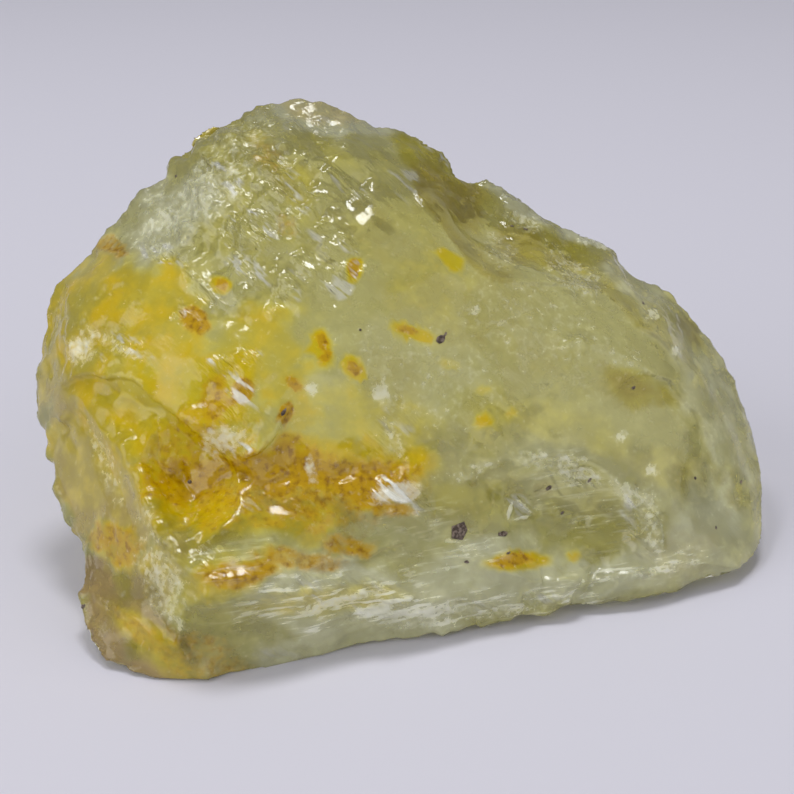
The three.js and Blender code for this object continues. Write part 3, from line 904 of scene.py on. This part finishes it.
# Builds a material's node tree. Each method adds one node and gives its output.
class Tree:
    def __init__(self, name):
        self.material = bpy.data.materials.new(name)
        self.material.use_nodes = True
        self.nodes = self.material.node_tree.nodes
        self.links = self.material.node_tree.links
        self.shader = self.nodes["Principled BSDF"]
        self.output = self.nodes["Material Output"]

    def feed(self, socket, value):
        if isinstance(value, bpy.types.NodeSocket):
            self.links.new(value, socket)
        else:
            socket.default_value = value

    def add(self, kind, **settings):
        node = self.nodes.new(kind)
        for key, value in settings.items():
            setattr(node, key, value)
        return node

    def attribute(self, name):
        return self.add("ShaderNodeAttribute", attribute_name=name).outputs["Fac"]

    def place(self, slope=0.0, stretch=(1, 1, 1)):
        coordinates = self.add("ShaderNodeTexCoord")
        upright = Matrix.Rotation(-slope, 3, "Z") @ Matrix((FACE_U, FACE_V, FACE_W))
        facing = self.add("ShaderNodeMapping")
        self.feed(facing.inputs["Vector"], coordinates.outputs["Object"])
        facing.inputs["Rotation"].default_value = upright.to_euler()
        spread = self.add("ShaderNodeMapping")
        self.feed(spread.inputs["Vector"], facing.outputs[0])
        spread.inputs["Scale"].default_value = [1 / s for s in stretch]
        return spread.outputs[0]

    def noise(self, place, length, octaves):
        node = self.add("ShaderNodeTexNoise")
        self.feed(node.inputs["Vector"], place)
        node.inputs["Scale"].default_value = 1 / (length * MM)
        node.inputs["Detail"].default_value = octaves
        return node.outputs["Fac"]

    def math(self, operation, a, b=0.0, clamp=False):
        node = self.add("ShaderNodeMath", operation=operation, use_clamp=clamp)
        self.feed(node.inputs[0], a)
        self.feed(node.inputs[1], b)
        return node.outputs[0]

    def scale(self, value, low, high, to_low=0.0, to_high=1.0):
        node = self.add("ShaderNodeMapRange", interpolation_type="SMOOTHSTEP")
        self.feed(node.inputs["Value"], value)
        node.inputs["From Min"].default_value = low
        node.inputs["From Max"].default_value = high
        node.inputs["To Min"].default_value = to_low
        node.inputs["To Max"].default_value = to_high
        return node.outputs["Result"]

    def mix(self, factor, a, b):
        node = self.add("ShaderNodeMix", data_type="RGBA")
        self.feed(node.inputs["Factor"], factor)
        self.feed(node.inputs["A"], a)
        self.feed(node.inputs["B"], b)
        return node.outputs["Result"]

    def bump(self, height, distance, strength=1.0, normal=None):
        node = self.add("ShaderNodeBump")
        self.feed(node.inputs["Height"], height)
        node.inputs["Distance"].default_value = distance * MM
        self.feed(node.inputs["Strength"], strength)
        if normal is not None:
            self.feed(node.inputs["Normal"], normal)
        return node.outputs[0]


# ---- The quartz's colours and shader ----

GREY_GREEN = linear(219, 215, 145)
OLIVE_GREEN = linear(212, 202, 78)
SMOKE_BROWN = linear(178, 160, 56)
CREAM_WHITE = linear(250, 224, 140)
# Painted light: the pale colour laid where the stone is lit through or glassy.
PAINTED_LIGHT_WHITE = linear(246, 246, 206)
BLUSH_PINK = linear(208, 178, 120)
LEMON = linear(242, 222, 10)
DEEP_YELLOW = linear(226, 192, 0)
AMBER_BROWN = linear(194, 152, 0)
RUST = linear(134, 88, 0)
# Partly painted highlight: the white of the veils and of the glints painted among them.
MILK_AND_GLINT_WHITE = linear(246, 246, 226)
# Painted glints on the crests, partly the white of finely broken quartz.
CREST_AND_GLINT_WHITE = linear(252, 252, 240)

# The shader's textures: how long their waves are in mm and how many octaves they have, and where they run
# one way, its slope and how they are stretched along it, across it and out of the face.
TEXTURES = {
    "broad": (16, 1),
    "middle": (4.5, 3),
    "small": (1.3, 3),
    "far stains": (26, 2),
    "specks": (1.0, 3),
    "veils_and_glints": (0.9, 3),
    "threads_and_sheen": (0.7, 3, THREAD_SLOPE, (9, 1, 2)),
    "crests": (1.1, 2, HACKLE_SLOPE, (4, 1, 2)),
    "clusters": (3.4, 2, HACKLE_SLOPE, (3, 1, 2)),
    "scratches": (0.42, 1, HACKLE_SLOPE, (4, 1, 1.5)),
}
# What a texture or a sum of them is made into: between which values it changes, and from what to what,
# where that isn't 0 to 1.
RANGES = {
    "far stains": (0.52, 0.72, 0, 0.8),
    "full yellow": (0.3, 1.0),
    "golden": (0.3, 0.7, 0.4, 1),
    "specks": (0.45, 0.75, 0, 0.8),
    "threads_and_sheen": (0.48, 0.68),
    "veils_and_glints": (0.3, 0.65, 0.55, 1),
    "olive": (0.5, 0.75, 0, 0.5),
    # These three shape the white of the painted glints on the crests.
    "painted glint crests": (0.46, 0.6),
    "painted glint clusters": (0.5, 0.6),
    "painted glint glitter": (0.2, 0.8),
    "clouds": (0.35, 0.7, 0, 0.3),
    "clearness": (0, 1, 0.68, 0.12),
    "frost": (0.3, 0.7, 0, 0.4),
    "roughness": (0, 1, 0.08, 0.34),
    "scratched": (0, 1, 0.08, 1),
    "clustered": (0.42, 0.56, 0.4, 1),
    "crested": (0, 1, 0.02, 1),
}
# How each mark's edge fades in the colour: the strengths where it starts and is full, and how far a soft
# texture frays it.
FADES = {
    "olive": (0.1, 0.9, 0.8),
    "smoke": (0.0, 1.1, 0.5),
    "painted_light": (0.0, 1.0, 0.7),
    "cream": (0.15, 0.9, 0.5),
    "blush": (0.1, 0.9, 0.5),
    "yellow": (0.0, 1.0, 0.6),
    "amber": (0.1, 1.0, 1.0),
    "milk_and_glints": (0.1, 1.1, 1.8),
}

# The veils and painted highlights hide the colour under them by this share.
MILK_AND_GLINT_COVER = 0.75  # how much of the colour under it a full veil hides
CLOUDING = {"milk_and_glints": 0.6, "yellow": 0.3, "amber": 0.6}  # how much each takes from the clearness
YELLOW_FROST = 0.15  # and how much the yellow adds to the roughness
ROUGH_SCRATCHES = 0.4  # how strong the scratches are where the break is only rough
SCRATCH_DEPTH = 0.2  # mm
CREST_HEIGHT = 0.75  # mm


# The shader's textures and marks, each a share from 0 to 1.
class QuartzTree(Tree):
    def __init__(self):
        super().__init__("quartz")
        self.at = self.place()
        self.middle = self.texture("middle")
        self.small = self.texture("small")
        self.crests = self.texture("crests")
        self.clusters = self.texture("clusters")
        self.glitter = self.attribute("sparkle")
        self.make_stains()
        self.make_milk_and_glints()

    def texture(self, name):
        length, octaves, *run = TEXTURES[name]
        return self.noise(self.place(*run) if run else self.at, length, octaves)

    def ranged(self, name, value):
        return self.scale(value, *RANGES[name])

    def times(self, a, b):
        return self.math("MULTIPLY", a, b)

    def plus(self, a, b):
        return self.math("ADD", a, b, True)

    def mark(self, name, texture):
        start, full, fraying = FADES[name]
        frayed = self.math("ADD", self.attribute(name), self.times(texture, fraying))
        return self.scale(frayed, start + fraying / 2, full + fraying / 2)

    # Yellow iron stains, which the hidden sides have too, and the brown specks in their amber parts.
    def make_stains(self):
        hidden = self.math("SUBTRACT", 1.0, self.attribute("front"), True)
        far_stains = self.times(self.ranged("far stains", self.texture("far stains")), hidden)
        self.yellow = self.plus(self.mark("yellow", self.middle), far_stains)
        self.golden = self.times(
            self.ranged("full yellow", self.yellow), self.ranged("golden", self.middle)
        )
        self.amber = self.mark("amber", self.small)
        self.rust = self.times(self.ranged("specks", self.texture("specks")), self.amber)

    # White veils of tiny cracks with painted highlights among them, and the fine threads in the low band
    # with their painted sheen.
    def make_milk_and_glints(self):
        # Painted sheen of the glassy low band, laid along the fine threads.
        threads_and_sheen = self.times(self.ranged("threads_and_sheen", self.texture("threads_and_sheen")), self.attribute("wisps_and_sheen"))
        # Veils with painted highlights among them.
        veils_and_glints = self.times(self.mark("milk_and_glints", self.texture("veils_and_glints")), self.ranged("veils_and_glints", self.small))
        self.milk_and_glints = self.plus(veils_and_glints, threads_and_sheen)

    def colour(self):
        olive = self.plus(self.mark("olive", self.middle), self.ranged("olive", self.texture("broad")))
        colour = self.mix(olive, GREY_GREEN, OLIVE_GREEN)
        colour = self.mix(self.mark("smoke", self.small), colour, SMOKE_BROWN)
        # Painted light: paler where light comes through the stone or shines off it.
        colour = self.mix(self.mark("painted_light", self.middle), colour, PAINTED_LIGHT_WHITE)
        colour = self.mix(self.mark("cream", self.middle), colour, CREAM_WHITE)
        colour = self.mix(self.mark("blush", self.middle), colour, BLUSH_PINK)
        colour = self.mix(self.yellow, colour, self.mix(self.golden, LEMON, DEEP_YELLOW))
        colour = self.mix(self.amber, colour, AMBER_BROWN)
        colour = self.mix(self.rust, colour, RUST)
        # Painted highlights and real white veils: white where the stone is bruised and where it glints.
        colour = self.mix(self.times(self.milk_and_glints, MILK_AND_GLINT_COVER), colour, MILK_AND_GLINT_WHITE)
        # Painted glints: white on the crests of the hackles.
        return self.mix(self.broken_crests_and_glints(), colour, CREST_AND_GLINT_WHITE)

    # Painted glints: the crests of the hackles painted white in clusters where the break glitters, partly
    # the white of finely broken crests.
    def broken_crests_and_glints(self):
        crests = self.times(
            self.ranged("painted glint crests", self.crests), self.ranged("painted glint clusters", self.clusters)
        )
        return self.times(crests, self.ranged("painted glint glitter", self.glitter))

    # How much light goes through: least where the stone is milky or stained.
    def clearness(self):
        cloudy = self.ranged("clouds", self.middle)
        for name, share in CLOUDING.items():
            cloudy = self.plus(cloudy, self.times(getattr(self, name), share))
        return self.ranged("clearness", cloudy)

    def roughness(self):
        frosted = self.plus(self.milk_and_glints, self.ranged("frost", self.small))
        frosted = self.plus(frosted, self.times(self.yellow, YELLOW_FROST))
        return self.ranged("roughness", frosted)

    # Long low crests and fine scratches along the hackles, strong only where the break glitters.
    def normal(self):
        rough = self.times(self.attribute("rough"), ROUGH_SCRATCHES)
        scratched = self.ranged("scratched", self.math("MAXIMUM", self.glitter, rough))
        scratches = self.bump(self.texture("scratches"), SCRATCH_DEPTH, scratched)
        crested = self.times(self.glitter, self.ranged("clustered", self.clusters))
        return self.bump(self.crests, CREST_HEIGHT, self.ranged("crested", crested), scratches)


QUARTZ_IOR = 1.544
ABSORPTION_COLOUR = (0.85, 0.84, 0.42, 1)
ABSORPTION_DENSITY = 14


def make_quartz_material():
    tree = QuartzTree()
    inputs = tree.shader.inputs
    tree.feed(inputs["Base Color"], tree.colour())
    tree.feed(inputs["Transmission Weight"], tree.clearness())
    tree.feed(inputs["Roughness"], tree.roughness())
    tree.feed(inputs["Normal"], tree.normal())
    inputs["IOR"].default_value = QUARTZ_IOR
    absorption = tree.add("ShaderNodeVolumeAbsorption")
    absorption.inputs["Color"].default_value = ABSORPTION_COLOUR
    absorption.inputs["Density"].default_value = ABSORPTION_DENSITY
    tree.links.new(absorption.outputs[0], tree.output.inputs["Volume"])
    return tree.material


GRAIN_BROWN = linear(62, 46, 34)
GRAIN_GREY = linear(128, 112, 100)
# The grains' textures: how long their waves are in mm and how many octaves they have.
GRAIN_FLECKS = (0.5, 3)
GRAIN_WEAR = (0.3, 2)
GRAIN_PITS = (0.35, 3)
FLECK_RANGE = (0.4, 0.65)
WEAR_RANGE = (0.3, 0.7, 0.25, 0.6)
PIT_DEPTH = 0.15  # mm


def make_grain_material():
    tree = Tree("dark_grain")
    place = tree.place()
    inputs = tree.shader.inputs
    flecks = tree.scale(tree.noise(place, *GRAIN_FLECKS), *FLECK_RANGE)
    tree.feed(inputs["Base Color"], tree.mix(flecks, GRAIN_BROWN, GRAIN_GREY))
    tree.feed(inputs["Roughness"], tree.scale(tree.noise(place, *GRAIN_WEAR), *WEAR_RANGE))
    tree.feed(inputs["Normal"], tree.bump(tree.noise(place, *GRAIN_PITS), PIT_DEPTH))
    return tree.material


# ---- Studio ----

FLOOR_SIZE = 6.0
FLOOR_COLOUR = (0.72, 0.71, 0.80, 1)
FLOOR_ROUGHNESS = 0.9
FLOOR_GLOSS = 0.2
ROOM_COLOUR = (0.97, 0.97, 1.0, 1)
ROOM_STRENGTH = 0.26
# Each soft round lamp: which way it shines from, how high, how far off and how wide in m, and its watts.
LAMPS = {
    "key": (150, 81, 1.4, 0.42, 6.0),
    "left_key": (-115, 70, 0.9, 0.18, 1.0),
    "low_fill": (-5, 12, 1.2, 1.0, 2.1),
    "left_fill": (-82, 27, 1.1, 1.0, 4.2),
    "right_fill": (45, 27, 1.1, 1.0, 1.5),
}


def make_floor():
    bpy.ops.mesh.primitive_plane_add(size=FLOOR_SIZE)
    floor = bpy.context.object
    floor.name = "floor"
    tree = Tree("floor")
    tree.shader.inputs["Base Color"].default_value = FLOOR_COLOUR
    tree.shader.inputs["Roughness"].default_value = FLOOR_ROUGHNESS
    tree.shader.inputs["Specular IOR Level"].default_value = FLOOR_GLOSS
    floor.data.materials.append(tree.material)


def add_lamp(name, azimuth, height, distance, size, power):
    data = bpy.data.lights.new(name, "AREA")
    data.shape = "DISK"
    data.size = size
    data.energy = power
    lamp = bpy.data.objects.new(name, data)
    turn, rise = math.radians(azimuth), math.radians(height)
    back = Vector((math.sin(turn) * math.cos(rise), -math.cos(turn) * math.cos(rise), math.sin(rise)))
    lamp.location = FACE_MIDDLE + back * distance
    lamp.rotation_euler = back.to_track_quat("Z", "Y").to_euler()
    bpy.context.scene.collection.objects.link(lamp)


def make_studio():
    world = bpy.data.worlds.new("studio")
    world.use_nodes = True
    background = world.node_tree.nodes["Background"]
    background.inputs["Color"].default_value = ROOM_COLOUR
    background.inputs["Strength"].default_value = ROOM_STRENGTH
    bpy.context.scene.world = world
    for name, settings in LAMPS.items():
        add_lamp(name, *settings)
    scene = bpy.context.scene
    scene.view_settings.view_transform = "Standard"
    scene.cycles.use_denoising = True
    scene.cycles.max_bounces = 4
    scene.cycles.diffuse_bounces = 2
    scene.cycles.glossy_bounces = 2


# ---- Putting it together ----

stone, ridge = smooth_copy(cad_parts["quartz"])
shape_stone(stone, ridge)
thin_out(stone)
paint_stone(stone)
grains = make_grains(stone)
stone.data.materials.append(make_quartz_material())
grains.data.materials.append(make_grain_material())
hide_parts("quartz")
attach(stone, "root")
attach(grains, "root")
make_floor()
make_studio()
